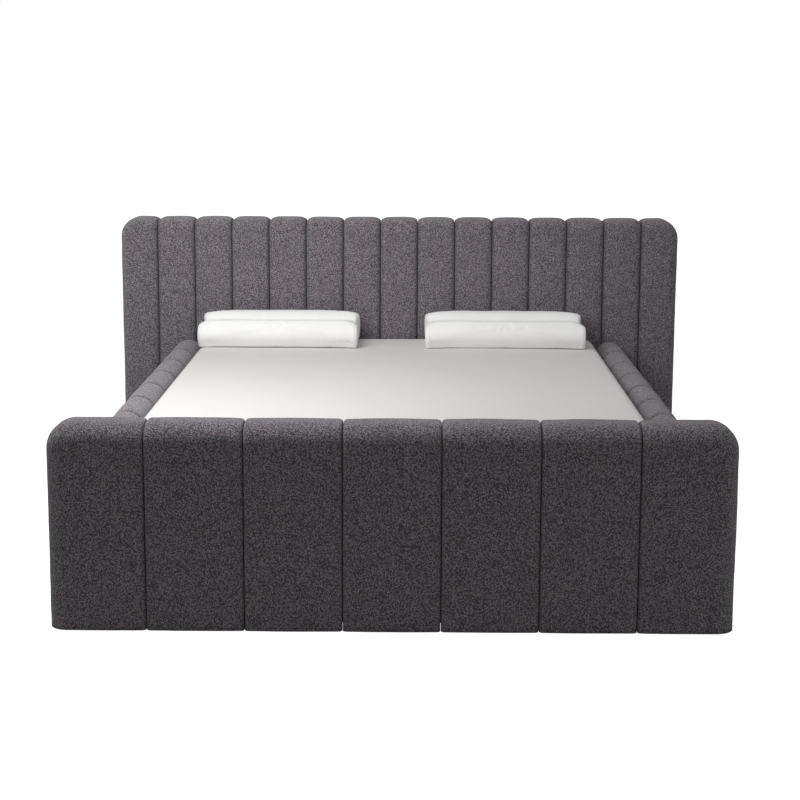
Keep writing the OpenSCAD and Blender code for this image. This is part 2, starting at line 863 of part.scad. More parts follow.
// The two ends of each fold, at the mattress's bottom and top
head_fold = [fold_reach(mattress_z, head_angle), fold_reach(mattress_top, head_angle)];
thigh_fold = [fold_reach(mattress_z, thigh_angle), fold_reach(mattress_top, thigh_angle)];

module mattress_head() {
    color(mattress_colour)
        mattress_piece([for (f = head_fold) head_y + f], [for (i = [0, 1]) mattress_l / 2]);
}

module mattress_fold_head() {
    color(mattress_colour)
        mattress_piece([for (f = head_fold) head_y - f + soft_gap],
                       [for (f = head_fold) head_y + f - soft_gap]);
}

module mattress_seat() {
    color(mattress_colour)
        mattress_piece([for (f = thigh_fold) thigh_y + f], [for (f = head_fold) head_y - f]);
}

module mattress_fold_thigh() {
    color(mattress_colour)
        mattress_piece([for (f = thigh_fold) thigh_y - f + soft_gap],
                       [for (f = thigh_fold) thigh_y + f - soft_gap]);
}

module mattress_thigh() {
    color(mattress_colour)
        mattress_piece([for (i = [0, 1]) knee_y + soft_gap / 2], [for (f = thigh_fold) thigh_y - f]);
}

module mattress_calf() {
    color(mattress_colour)
        mattress_piece([for (i = [0, 1]) foot_end_y], [for (i = [0, 1]) knee_y - soft_gap / 2]);
}

// A contour pillow: two lobes with a hollow between them
pillow_back_y = 1008;
pillow_toe = 12;

module pillow(x) {
    front_r = pillow_front_h / 2;
    back_r = pillow_back_h / 2;
    front_y = pillow_back_y - pillow_d;
    color(pillow_colour) translate([0, 0, mattress_top]) across(x - pillow_w / 2, x + pillow_w / 2) {
        translate([front_y + front_r, front_r]) circle(front_r);
        translate([pillow_back_y - back_r, back_r]) circle(back_r);
        translate([front_y + front_r, 0]) square([pillow_d - front_r - back_r, pillow_hollow_h]);
        translate([front_y + pillow_toe, 0]) square([pillow_d - 2 * pillow_toe, front_r]);
    }
}

module pillow_left() { pillow(-pillow_left_x); }
module pillow_right() { pillow(pillow_right_x); }

headboard_board();
headboard_channels();
headboard_back_cover();
footboard_board();
footboard_channels();
footboard_inner_cover();
surround_posts();
floor_glides();
rail_board_left();
rail_board_right();
rail_pad_left();
rail_pad_right();
rail_brackets();
surround_bolts();
chassis_side_tubes();
chassis_cross_tubes();
chassis_legs();
hinge_plates();
hinge_bushes();
deck_buffers();
rail_ties();
link_shafts();
seat_board();
seat_cover();
drive_case();
drive_lid();
drive_motors();
control_box();
power_supply();
head_push_block();
leg_push_block();
head_screw();
leg_screw();
head_torque_tube();
head_arms();
head_cross_tubes();
head_lever();
head_board();
head_cover();
leg_torque_tube();
thigh_arms();
leg_lever();
knee_pins();
thigh_board();
thigh_cover();
calf_arms();
calf_cross_tubes();
calf_link_plates();
calf_board();
calf_cover();
mattress_retainer();
calf_links();
mattress_head();
mattress_fold_head();
mattress_seat();
mattress_fold_thigh();
mattress_thigh();
mattress_calf();
pillow_left();
pillow_right();
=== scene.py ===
"""Looks for an upholstered adjustable bed: channelled boucle panels, side rails, a mattress, pillows and metalwork."""

import json
import math

import bmesh
import bpy
from mathutils import Matrix, Vector, noise
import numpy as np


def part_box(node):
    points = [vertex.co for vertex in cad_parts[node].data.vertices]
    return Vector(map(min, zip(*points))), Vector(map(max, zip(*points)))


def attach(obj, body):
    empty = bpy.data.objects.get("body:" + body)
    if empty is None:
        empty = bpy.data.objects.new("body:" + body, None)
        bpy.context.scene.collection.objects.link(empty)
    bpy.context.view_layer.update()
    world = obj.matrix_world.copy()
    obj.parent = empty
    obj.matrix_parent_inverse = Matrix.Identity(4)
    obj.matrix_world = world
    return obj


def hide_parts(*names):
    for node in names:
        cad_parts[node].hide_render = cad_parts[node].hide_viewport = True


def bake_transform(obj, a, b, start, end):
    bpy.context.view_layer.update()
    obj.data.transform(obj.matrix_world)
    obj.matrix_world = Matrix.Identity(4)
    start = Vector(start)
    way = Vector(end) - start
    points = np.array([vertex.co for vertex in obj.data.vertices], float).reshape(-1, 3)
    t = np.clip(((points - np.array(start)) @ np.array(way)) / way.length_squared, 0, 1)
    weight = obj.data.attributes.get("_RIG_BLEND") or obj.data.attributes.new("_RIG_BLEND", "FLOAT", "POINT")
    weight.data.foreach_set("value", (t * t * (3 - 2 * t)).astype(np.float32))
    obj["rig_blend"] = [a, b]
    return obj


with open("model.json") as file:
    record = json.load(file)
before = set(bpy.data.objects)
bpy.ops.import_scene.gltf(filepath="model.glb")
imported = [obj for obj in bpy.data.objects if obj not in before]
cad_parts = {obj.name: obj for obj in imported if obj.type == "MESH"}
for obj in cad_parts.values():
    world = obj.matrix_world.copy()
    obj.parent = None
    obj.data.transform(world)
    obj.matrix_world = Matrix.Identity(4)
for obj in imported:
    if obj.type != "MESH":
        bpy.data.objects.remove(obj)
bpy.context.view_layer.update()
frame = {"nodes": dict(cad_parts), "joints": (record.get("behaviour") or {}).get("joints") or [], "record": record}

bl_info = {
    "name": "Adjustable bed",
    "version": (1, 0, 0),
    "blender": (4, 5, 0),
    "location": "View3D > Sidebar > Bed",
    "description": "Builds the upholstery, mattress, pillows and finishes of an adjustable bed round its frame",
    "category": "Object",
}

UP = Vector((0, 0, 1))
LEFT, RIGHT = -1, 1


# ---------------------------------------------------------------- sizes and colours

class BedPadding(bpy.types.PropertyGroup):
    """How the boucle padding is shaped."""

    head_seam: bpy.props.FloatProperty(
        name="Headboard seam depth", description="How deep the seams between the headboard's channels are",
        default=0.014, min=0.005, max=0.05, unit="LENGTH", subtype="DISTANCE")
    head_roll: bpy.props.FloatProperty(
        name="Headboard channel roll", description="Width over which a headboard channel rolls into its seam",
        default=0.031, min=0.008, max=0.06, unit="LENGTH", subtype="DISTANCE")
    foot_seam: bpy.props.FloatProperty(
        name="Footboard seam depth", description="How deep the seams between the footboard's channels are",
        default=0.010, min=0.005, max=0.05, unit="LENGTH", subtype="DISTANCE")
    foot_roll: bpy.props.FloatProperty(
        name="Footboard channel roll", description="Width over which a footboard channel rolls into its seam",
        default=0.012, min=0.008, max=0.06, unit="LENGTH", subtype="DISTANCE")
    rail_seam: bpy.props.FloatProperty(
        name="Rail seam depth", description="How deep the seams across the side rails are",
        default=0.009, min=0.002, max=0.02, unit="LENGTH", subtype="DISTANCE")
    rail_roll: bpy.props.FloatProperty(
        name="Rail channel roll", description="Width over which a side rail channel rolls into its seam",
        default=0.040, min=0.005, max=0.06, unit="LENGTH", subtype="DISTANCE")
    rail_channels: bpy.props.IntProperty(
        name="Channels on a rail", description="Number of padded channels along each side rail", default=8, min=4, max=12)
    puff: bpy.props.FloatProperty(
        name="Puff", description="How far the middle of a channel swells past its edges",
        default=0.0025, min=0.0, max=0.01, unit="LENGTH", subtype="DISTANCE")
    shell: bpy.props.FloatProperty(
        name="Shell thickness", description="Thickness of the quilted shell over the foam",
        default=0.011, min=0.004, max=0.016, unit="LENGTH", subtype="DISTANCE")


class BedColours(bpy.types.PropertyGroup):
    """The colours of the cloth."""

    boucle: bpy.props.FloatVectorProperty(
        name="Boucle", description="Colour of the curly upholstery", subtype="COLOR", size=3,
        default=(0.236, 0.209, 0.232), min=0, max=1)
    mattress: bpy.props.FloatVectorProperty(
        name="Mattress", description="Colour of the mattress's knitted cover", subtype="COLOR", size=3,
        default=(0.64, 0.620, 0.612), min=0, max=1)
    pillow: bpy.props.FloatVectorProperty(
        name="Pillow", description="Colour of the pillows' knitted cover", subtype="COLOR", size=3,
        default=(0.86, 0.855, 0.85), min=0, max=1)


class BedStage(bpy.types.PropertyGroup):
    """The camera and its lens."""

    eye: bpy.props.FloatVectorProperty(
        name="Camera place", description="Where the camera stands", size=3, default=(0.052, -5.826, 1.4925),
        unit="LENGTH", subtype="TRANSLATION")
    tilt: bpy.props.FloatProperty(
        name="Camera tilt", description="How far the camera looks down", default=0.1775, unit="ROTATION", subtype="ANGLE")
    turn: bpy.props.FloatProperty(
        name="Camera turn", description="How far the camera turns to the left", default=0.0067,
        unit="ROTATION", subtype="ANGLE")
    roll: bpy.props.FloatProperty(
        name="Camera roll", description="How far the camera leans to its left", default=0.0045,
        unit="ROTATION", subtype="ANGLE")
    lens: bpy.props.FloatProperty(
        name="Lens", description="Focal length on a 36 mm frame, in millimetres", default=78.95, min=20, max=200)


def settings():
    return bpy.context.scene.bed_padding, bpy.context.scene.bed_colours, bpy.context.scene.bed_stage


# ---------------------------------------------------------------- material building blocks

def new_group(name, inputs, outputs):
    """An empty shader node group with the sockets given as (name, type, default)."""
    group = bpy.data.node_groups.new(name, "ShaderNodeTree")
    for label, kind, value in inputs:
        socket = group.interface.new_socket(name=label, in_out="INPUT", socket_type=kind)
        socket.default_value = value
    for label, kind in outputs:
        group.interface.new_socket(name=label, in_out="OUTPUT", socket_type=kind)
    return group, group.nodes.new("NodeGroupInput"), group.nodes.new("NodeGroupOutput")


def node(tree, kind, links=(), **values):
    """A node with its attributes or input sockets set, and its inputs linked as (socket, source socket)."""
    made = tree.nodes.new(kind)
    for key, value in values.items():
        if hasattr(made, key):
            setattr(made, key, value)
        else:
            made.inputs[key.replace("_", " ")].default_value = value
    for socket, source in links:
        tree.links.new(source, made.inputs[socket])
    return made


def boucle_group():
    """Curly loops of yarn: little round hillocks with painted shade in the gaps between them and a painted highlight
    on each loop's tip; the Crease input adds painted shade along the seams.
    """
    group, start, end = new_group(
        "Boucle loops",
        [("Vector", "NodeSocketVector", (0, 0, 0)), ("Colour", "NodeSocketColor", (0.1, 0.1, 0.1, 1)),
         ("Loops per metre", "NodeSocketFloat", 250.0), ("Crease", "NodeSocketFloat", 0.0)],
        [("Colour", "NodeSocketColor"), ("Height", "NodeSocketFloat")])
    curl = node(group, "ShaderNodeTexNoise", [("Vector", start.outputs["Vector"])], Scale=190.0, Detail=2.0)
    bent = node(group, "ShaderNodeVectorMath", [(0, curl.outputs["Color"])], operation="MULTIPLY")
    bent.inputs[1].default_value = (0.0065, 0.0065, 0.0065)
    place = node(group, "ShaderNodeVectorMath",
                 [(0, start.outputs["Vector"]), (1, bent.outputs[0])], operation="ADD")
    loops = node(group, "ShaderNodeTexVoronoi",
                 [("Vector", place.outputs[0]), ("Scale", start.outputs["Loops per metre"])], feature="SMOOTH_F1")
    loops.inputs["Smoothness"].default_value = 0.2
    fibre = node(group, "ShaderNodeTexNoise", [("Vector", place.outputs[0])], Scale=620.0, Detail=3.0, Roughness=0.75)
    mottle = node(group, "ShaderNodeTexNoise", [("Vector", start.outputs["Vector"])], Scale=38.0, Detail=4.0)
    hill = node(group, "ShaderNodeMapRange", [("Value", loops.outputs["Distance"])])
    hill.inputs["From Min"].default_value = 0.62
    hill.inputs["From Max"].default_value = 0.08
    rough = node(group, "ShaderNodeMath", [(0, fibre.outputs["Fac"])], operation="MULTIPLY")
    rough.inputs[1].default_value = 0.9
    height = node(group, "ShaderNodeMath", [(0, hill.outputs[0]), (1, rough.outputs[0])], operation="ADD")
    # Painted shade and highlight: the colour runs from dark in the low gaps between loops to light on the high loop
    # tips
    shade = node(group, "ShaderNodeMapRange", [("Value", height.outputs[0])])
    shade.inputs["From Min"].default_value = 0.45
    shade.inputs["From Max"].default_value = 1.35
    shade.inputs["To Min"].default_value = 0.35
    shade.inputs["To Max"].default_value = 2.0
    patch = node(group, "ShaderNodeMapRange", [("Value", mottle.outputs["Fac"])])
    patch.inputs["From Min"].default_value = 0.3
    patch.inputs["From Max"].default_value = 0.7
    patch.inputs["To Min"].default_value = 0.90
    patch.inputs["To Max"].default_value = 1.10
    both = node(group, "ShaderNodeMath", [(0, shade.outputs[0]), (1, patch.outputs[0])], operation="MULTIPLY")
    tint = node(group, "ShaderNodeVectorMath",
                [(0, start.outputs["Colour"]), ("Scale", both.outputs[0])], operation="SCALE")
    yarns = node(group, "ShaderNodeTexNoise", [("Vector", start.outputs["Vector"])], Scale=130.0, Detail=1.0)
    hue = node(group, "ShaderNodeVectorMath", [(0, yarns.outputs["Color"])], operation="MULTIPLY_ADD")
    hue.inputs[1].default_value = (0.44, 0.36, 0.44)
    hue.inputs[2].default_value = (0.78, 0.82, 0.78)
    mixed = node(group, "ShaderNodeVectorMath", [(0, tint.outputs[0]), (1, hue.outputs[0])], operation="MULTIPLY")
    # Painted shade along the seams: the colour darkens strongly as the crease mask rises towards a seam's tuck
    painted_seam_shade = node(group, "ShaderNodeMapRange", [("Value", start.outputs["Crease"])])
    painted_seam_shade.inputs["From Min"].default_value = 0.15
    painted_seam_shade.inputs["To Min"].default_value = 1.0
    painted_seam_shade.inputs["To Max"].default_value = 0.12
    seam_shaded = node(group, "ShaderNodeVectorMath",
                  [(0, mixed.outputs[0]), ("Scale", painted_seam_shade.outputs[0])], operation="SCALE")
    group.links.new(seam_shaded.outputs[0], end.inputs["Colour"])
    group.links.new(height.outputs[0], end.inputs["Height"])
    return group


def knit_group():
    """A fine knit with a regular row of small raised dots."""
    group, start, end = new_group(
        "Dotted knit",
        [("Vector", "NodeSocketVector", (0, 0, 0)), ("Colour", "NodeSocketColor", (0.8, 0.8, 0.8, 1)),
         ("Dots per metre", "NodeSocketFloat", 120.0), ("Contrast", "NodeSocketFloat", 0.06)],
        [("Colour", "NodeSocketColor"), ("Height", "NodeSocketFloat")])
    dots = node(group, "ShaderNodeTexVoronoi",
                [("Vector", start.outputs["Vector"]), ("Scale", start.outputs["Dots per metre"])])
    dots.inputs["Randomness"].default_value = 0.25
    yarn = node(group, "ShaderNodeTexNoise", [("Vector", start.outputs["Vector"])], Scale=900.0, Detail=2.0)
    soft = node(group, "ShaderNodeTexNoise", [("Vector", start.outputs["Vector"])], Scale=6.0, Detail=3.0)
    height = node(group, "ShaderNodeMath", [(0, dots.outputs["Distance"]), (1, yarn.outputs["Fac"])], operation="ADD")
    spread = node(group, "ShaderNodeMath", [(0, height.outputs[0]), (1, soft.outputs["Fac"])], operation="ADD")
    centred = node(group, "ShaderNodeMath", [(0, spread.outputs[0])], operation="SUBTRACT")
    centred.inputs[1].default_value = 1.45
    scaled = node(group, "ShaderNodeMath",
                  [(0, centred.outputs[0]), (1, start.outputs["Contrast"])], operation="MULTIPLY")
    lift = node(group, "ShaderNodeMath", [(0, scaled.outputs[0])], operation="ADD")
    lift.inputs[1].default_value = 1.0
    tint = node(group, "ShaderNodeVectorMath",
                [(0, start.outputs["Colour"]), ("Scale", lift.outputs[0])], operation="SCALE")
    group.links.new(tint.outputs[0], end.inputs["Colour"])
    group.links.new(height.outputs[0], end.inputs["Height"])
    return group


def speckle_group():
    """Fine grain for paint, plastic, rubber and metal: a mask with soft patches and a height."""
    group, start, end = new_group(
        "Speckle",
        [("Vector", "NodeSocketVector", (0, 0, 0)), ("Colour", "NodeSocketColor", (0.1, 0.1, 0.1, 1)),
         ("Grain per metre", "NodeSocketFloat", 900.0), ("Contrast", "NodeSocketFloat", 0.2)],
        [("Colour", "NodeSocketColor"), ("Height", "NodeSocketFloat"), ("Mask", "NodeSocketFloat")])
    grain = node(group, "ShaderNodeTexNoise",
                 [("Vector", start.outputs["Vector"]), ("Scale", start.outputs["Grain per metre"])], Detail=2.0)
    patch = node(group, "ShaderNodeTexNoise", [("Vector", start.outputs["Vector"])], Scale=14.0, Detail=5.0)
    total = node(group, "ShaderNodeMath", [(0, grain.outputs["Fac"]), (1, patch.outputs["Fac"])], operation="ADD")
    centred = node(group, "ShaderNodeMath", [(0, total.outputs[0])], operation="SUBTRACT")
    centred.inputs[1].default_value = 1.0
    scaled = node(group, "ShaderNodeMath",
                  [(0, centred.outputs[0]), (1, start.outputs["Contrast"])], operation="MULTIPLY")
    lift = node(group, "ShaderNodeMath", [(0, scaled.outputs[0])], operation="ADD")
    lift.inputs[1].default_value = 1.0
    tint = node(group, "ShaderNodeVectorMath",
                [(0, start.outputs["Colour"]), ("Scale", lift.outputs[0])], operation="SCALE")
    group.links.new(tint.outputs[0], end.inputs["Colour"])
    group.links.new(grain.outputs["Fac"], end.inputs["Height"])
    group.links.new(patch.outputs["Fac"], end.inputs["Mask"])
    return group


def wood_group():
    """Long grain along one axis, with darker late wood."""
    group, start, end = new_group(
        "Wood grain",
        [("Vector", "NodeSocketVector", (0, 0, 0)), ("Light", "NodeSocketColor", (0.6, 0.45, 0.28, 1)),
         ("Dark", "NodeSocketColor", (0.4, 0.27, 0.15, 1)), ("Stretch", "NodeSocketVector", (30.0, 30.0, 2.0))],
        [("Colour", "NodeSocketColor"), ("Height", "NodeSocketFloat")])
    long = node(group, "ShaderNodeVectorMath",
                [(0, start.outputs["Vector"]), (1, start.outputs["Stretch"])], operation="MULTIPLY")
    rings = node(group, "ShaderNodeTexNoise", [("Vector", long.outputs[0])], Scale=1.6, Detail=6.0, Distortion=0.6)
    fine = node(group, "ShaderNodeTexNoise", [("Vector", long.outputs[0])], Scale=12.0, Detail=3.0)
    blend = node(group, "ShaderNodeMath", [(0, rings.outputs["Fac"]), (1, fine.outputs["Fac"])], operation="MULTIPLY")
    share = node(group, "ShaderNodeMapRange", [("Value", blend.outputs[0])])
    share.inputs["From Min"].default_value = 0.15
    share.inputs["From Max"].default_value = 0.38
    mix = node(group, "ShaderNodeMix", data_type="RGBA")
    group.links.new(share.outputs[0], mix.inputs["Factor"])
    group.links.new(start.outputs["Dark"], mix.inputs[6])
    group.links.new(start.outputs["Light"], mix.inputs[7])
    group.links.new(mix.outputs[2], end.inputs["Colour"])
    group.links.new(blend.outputs[0], end.inputs["Height"])
    return group


def material(name, group, bump, distance, source="Object", attribute=None, shader=None, **values):
    """A Principled material whose colour and bump come from one of the groups."""
    made = bpy.data.materials.new(f"{name}_finish")
    made.use_nodes = True
    tree = made.node_tree
    principled = tree.nodes["Principled BSDF"]
    for key, value in (shader or {}).items():
        principled.inputs[key].default_value = value
    pattern = node(tree, "ShaderNodeGroup")
    pattern.node_tree = group
    if attribute:
        where = node(tree, "ShaderNodeAttribute", attribute_name=attribute).outputs["Vector"]
    else:
        where = node(tree, "ShaderNodeTexCoord").outputs[source]
    tree.links.new(where, pattern.inputs["Vector"])
    for key, value in values.items():
        pattern.inputs[key.replace("_", " ")].default_value = value
    relief = node(tree, "ShaderNodeBump", [("Height", pattern.outputs["Height"])], Strength=bump, Distance=distance)
    tree.links.new(pattern.outputs["Colour"], principled.inputs["Base Color"])
    tree.links.new(relief.outputs["Normal"], principled.inputs["Normal"])
    return made


def finish(slot_name):
    """The finish made for one of the record's material slots."""
    return bpy.data.materials[f"{slot_name}_finish"]


def rgba(colour):
    return tuple(colour[:3]) + (1.0,)


def build_materials():
    """Makes every finish of the bed, one for each material slot in the record."""
    _, colours, _ = settings()
    boucle, knit, speckle, wood = boucle_group(), knit_group(), speckle_group(), wood_group()
    cloth = {"Roughness": 0.95, "Sheen Weight": 0.35, "Sheen Roughness": 0.5, "Specular IOR Level": 0.15}
    paint = {"Roughness": 0.48, "Specular IOR Level": 0.4}
    metal = {"Metallic": 1.0, "Roughness": 0.32}
    plastic = {"Roughness": 0.6}
    cover = material("boucle", boucle, 0.8, 0.003, shader=cloth, Colour=rgba(colours.boucle))
    # The crease mask drives the painted shade that darkens the cloth along the seams
    seams = node(cover.node_tree, "ShaderNodeAttribute", attribute_name="crease")
    pattern = next(part for part in cover.node_tree.nodes if part.type == "GROUP")
    cover.node_tree.links.new(seams.outputs["Fac"], pattern.inputs["Crease"])
    material("lining", knit, 0.5, 0.0006, shader={"Roughness": 0.9},
             Colour=(0.05, 0.05, 0.054, 1), Dots_per_metre=420.0, Contrast=0.5)
    material("timber", wood, 0.3, 0.0006, shader={"Roughness": 0.7},
             Light=(0.60, 0.44, 0.26, 1), Dark=(0.38, 0.25, 0.13, 1), Stretch=(30.0, 30.0, 2.0))
    material("board", wood, 0.25, 0.0005, shader={"Roughness": 0.62},
             Light=(0.52, 0.38, 0.23, 1), Dark=(0.33, 0.22, 0.12, 1), Stretch=(2.0, 30.0, 30.0))
    material("frame_steel", speckle, 0.25, 0.0004, shader=paint,
             Colour=(0.040, 0.041, 0.044, 1), Grain_per_metre=1400.0, Contrast=0.25)
    material("bright_steel", speckle, 0.08, 0.0002, shader=metal,
             Colour=(0.60, 0.60, 0.61, 1), Grain_per_metre=700.0, Contrast=0.18)
    material("case_plastic", speckle, 0.35, 0.0003, shader=plastic,
             Colour=(0.030, 0.031, 0.034, 1), Grain_per_metre=1100.0, Contrast=0.2)
    material("nylon", speckle, 0.1, 0.0002, shader={"Roughness": 0.45},
             Colour=(0.78, 0.76, 0.70, 1), Grain_per_metre=500.0, Contrast=0.08)
    material("buffer_rubber", speckle, 0.2, 0.0004, shader={"Roughness": 0.8},
             Colour=(0.020, 0.020, 0.020, 1), Grain_per_metre=600.0, Contrast=0.3)
    material("mattress_knit", knit, 0.35, 0.0008, attribute="rest",
             shader={"Roughness": 0.92, "Sheen Weight": 0.1},
             Colour=rgba(colours.mattress), Dots_per_metre=150.0, Contrast=0.05)
    material("pillow_knit", knit, 0.4, 0.0010,
             shader={"Roughness": 0.9, "Sheen Weight": 0.1},
             Colour=rgba(colours.pillow), Dots_per_metre=110.0, Contrast=0.07)


# ---------------------------------------------------------------- shaping helpers

def finish_piece(bm, name, slot_name, smooth=True):
    """Turns a bmesh into an object at the origin, with the material of its slot."""
    mesh = bpy.data.meshes.new(name)
    bm.to_mesh(mesh)
    bm.free()
    for face in mesh.polygons:
        face.use_smooth = smooth
    piece = bpy.data.objects.new(name, mesh)
    bpy.context.scene.collection.objects.link(piece)
    mesh.materials.append(finish(slot_name))
    return piece


def slice_at(bm, axis, places):
    """Cuts the whole mesh across one axis at each of the places."""
    normal = Vector([1.0 if i == axis else 0.0 for i in range(3)])
    for place in places:
        bmesh.ops.bisect_plane(bm, geom=bm.verts[:] + bm.edges[:] + bm.faces[:], dist=1e-6,
                               plane_co=normal * place, plane_no=normal)


def box_mesh(low, high):
    """A box from one corner to the other."""
    low, high = Vector(low), Vector(high)
    bm = bmesh.new()
    size = high - low
    place = Matrix.Translation((low + high) / 2) @ Matrix.Diagonal((size.x, size.y, size.z, 1.0))
    bmesh.ops.create_cube(bm, size=1.0, matrix=place)
    return bm


def steps(start, end, spacing):
    """Evenly spaced places strictly between two ends."""
    count = max(1, round((end - start) / spacing))
    return [start + (end - start) * i / count for i in range(1, count)]


def roll_places(edge, direction, roll, count=6):
    """Places that get closer towards an edge, for the round part of a roll."""
    return [edge + direction * roll * (1 - math.cos(i * math.pi / 2 / count)) for i in range(1, count + 1)]


def arc(reach_to_corner, radius):
    """Where a point that was this far past a square corner, from -radius to radius, lies on the round corner.

    Gives its distances in from the two faces."""
    angle = (1 + reach_to_corner / radius) * math.pi / 4
    return radius * (1 - math.sin(angle)), radius * (1 - math.cos(angle))


def ripple(point, scale, seed):
    return noise.noise(point * scale + Vector((seed * 7.3, seed * 3.1, seed * 1.7)))


# ---------------------------------------------------------------- padded channels

class ChannelPlan:
    """One row of channels, drawn with x across it, y inwards from its face and z up."""

    def __init__(self, bottom, top, depth, half_width, corner, front_roll, back_roll, lip, seam, seam_roll, puff):
        self.bottom, self.top, self.depth = bottom, top, depth
        self.half_width, self.corner = half_width, corner
        self.front_roll, self.back_roll, self.lip = front_roll, back_roll, lip
        self.seam, self.seam_roll, self.puff = seam, seam_roll, puff


def round_outline(point, plan, corner):
    """Rounds the upper corner of the outline. Gives the new point, the way out of the outline and how far in it is."""
    inset = Vector((corner * (plan.half_width - plan.corner), 0, plan.top - plan.corner))
    away = Vector((point.x - inset.x, 0, point.z - inset.z))
    if corner and away.x * corner > 0 and away.z > 0:
        square = max(abs(away.x), abs(away.z))
        out = away.normalized()
        moved = inset + out * square
        moved.y = point.y
        return moved, out, plan.corner - square
    side_gap = plan.half_width - abs(point.x) if corner and point.x * corner > 0 else 10.0
    top_gap = plan.top - point.z
    if side_gap < top_gap:
        return point.copy(), Vector((corner, 0, 0)), side_gap
    return point.copy(), UP, top_gap


def roll_edges(point, plan, corner):
    """Rolls the face over into the top and side, and those over into the back."""
    moved, out, gap = round_outline(point, plan, corner)
    depth = point.y
    if gap < plan.front_roll and depth < plan.front_roll and depth < plan.depth / 2:
        along = depth - gap if gap > 1e-6 else depth
        inward, depth_new = arc(along, plan.front_roll)
        return moved + out * (gap - inward) + Vector((0, depth_new - depth, 0))
    back = plan.depth - depth
    if gap < plan.back_roll and back < plan.back_roll:
        along = back - gap if gap > 1e-6 else back
        inward, back_new = arc(along, plan.back_roll)
        return moved + out * (gap - inward) + Vector((0, back - back_new, 0))
    return moved


def seam_drop(distance, plan):
    """How far the surface has dropped at this distance from a seam."""
    if distance >= plan.seam_roll:
        return 0.0
    share = 1 - distance / plan.seam_roll
    return plan.seam * (1 - math.sqrt(max(0.0, 1 - share * share)))


def channel_mesh(plan, x0, x1, corner, seed):
    """One padded channel between two seams, or between a seam and the panel's own side."""
    seams = [x for x, side in ((x0, LEFT), (x1, RIGHT)) if side != corner]
    bm = box_mesh((x0, 0, plan.bottom), (x1, plan.depth, plan.top))
    lip_x = x1 - plan.lip if corner == RIGHT else x0 + plan.lip
    slice_at(bm, 2, [plan.top - plan.lip])
    if corner:
        slice_at(bm, 0, [lip_x])
    unwanted = []
    for face in bm.faces:
        middle = face.calc_center_median()
        at_bottom = abs(middle.z - plan.bottom) < 1e-5
        at_seam = any(abs(middle.x - x) < 1e-5 for x in seams)
        inside_lip = middle.z < plan.top - plan.lip - 1e-5 and not (corner and (middle.x - lip_x) * corner > 0)
        at_back = abs(middle.y - plan.depth) < 1e-5 and inside_lip
        if at_bottom or at_seam or at_back:
            unwanted.append(face)
    bmesh.ops.delete(bm, geom=unwanted, context="FACES")
    fine = 0.007
    left_end, right_end = x0 + plan.seam_roll, x1 - plan.seam_roll
    places = []
    if corner != LEFT:
        places += roll_places(x0, 1, plan.seam_roll)
    else:
        left_end = x0 + plan.corner
        places += steps(x0, left_end, fine) + [left_end]
    if corner != RIGHT:
        places += roll_places(x1, -1, plan.seam_roll)
    else:
        right_end = x1 - plan.corner
        places += steps(right_end, x1, fine) + [right_end]
    places += steps(left_end, right_end, 0.013)
    slice_at(bm, 0, places)
    round_zone = max(plan.corner, plan.front_roll)
    slice_at(bm, 2, steps(plan.bottom, plan.top - round_zone, 0.014) + [plan.top - round_zone]
             + steps(plan.top - round_zone, plan.top, fine))
    slice_at(bm, 1, steps(0, plan.depth, fine))
    # The crease mask says how deep each point has dropped into a seam; the cloth's colour takes painted shade from it
    crease = bm.verts.layers.float.new("crease")
    across = {}
    for vert in bm.verts:
        across[vert] = vert.co.x
        vert.co = roll_edges(vert.co.copy(), plan, corner)
    bm.normal_update()
    normals = {vert: vert.normal.copy() for vert in bm.verts}
    half = (x1 - x0) / 2
    for vert in bm.verts:
        drop = sum(seam_drop(abs(across[vert] - x), plan) for x in seams)
        vert[crease] = min(1.0, drop / plan.seam)
        share = (across[vert] - x0 - half) / half
        if share * corner > 0:
            share = 0.0
        swell = plan.puff * (1 - share * share)
        loose = 0.0016 * ripple(vert.co, 5.0, seed) + 0.0007 * ripple(vert.co, 22.0, seed + 9)
        vert.co += normals[vert] * (swell - plan.puff - drop + loose * min(1.0, 0.3 + swell / 0.003))
    tuck_seams(bm, seams, across, normals)
    return bm


def tuck_seams(bm, seams, across, normals):
    """Folds the cloth straight in along each seam."""
    edges = [edge for edge in bm.edges if edge.is_boundary
             and any(all(abs(across[vert] - x) < 1e-5 for vert in edge.verts) for x in seams)]
    lookup = {tuple(round(part, 7) for part in vert.co): normals[vert] for edge in edges for vert in edge.verts}
    made = bmesh.ops.extrude_edge_only(bm, edges=edges)["geom"]
    # The tucked cloth gets the full crease mask, so it takes the darkest painted shade
    crease = bm.verts.layers.float["crease"]
    for vert in made:
        if isinstance(vert, bmesh.types.BMVert):
            vert[crease] = 1.0
            vert.co -= lookup[tuple(round(part, 7) for part in vert.co)] * 0.016


def pad_piece(bm, name, place, padding, node_name):
    bmesh.ops.transform(bm, matrix=place, verts=bm.verts[:])
    bmesh.ops.recalc_face_normals(bm, faces=bm.faces[:])
    piece = finish_piece(bm, name, "boucle")
    thick = piece.modifiers.new("Shell", "SOLIDIFY")
    thick.thickness = padding.shell
    thick.offset = -1.0
    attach(piece, "root")
    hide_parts(node_name)
    return piece


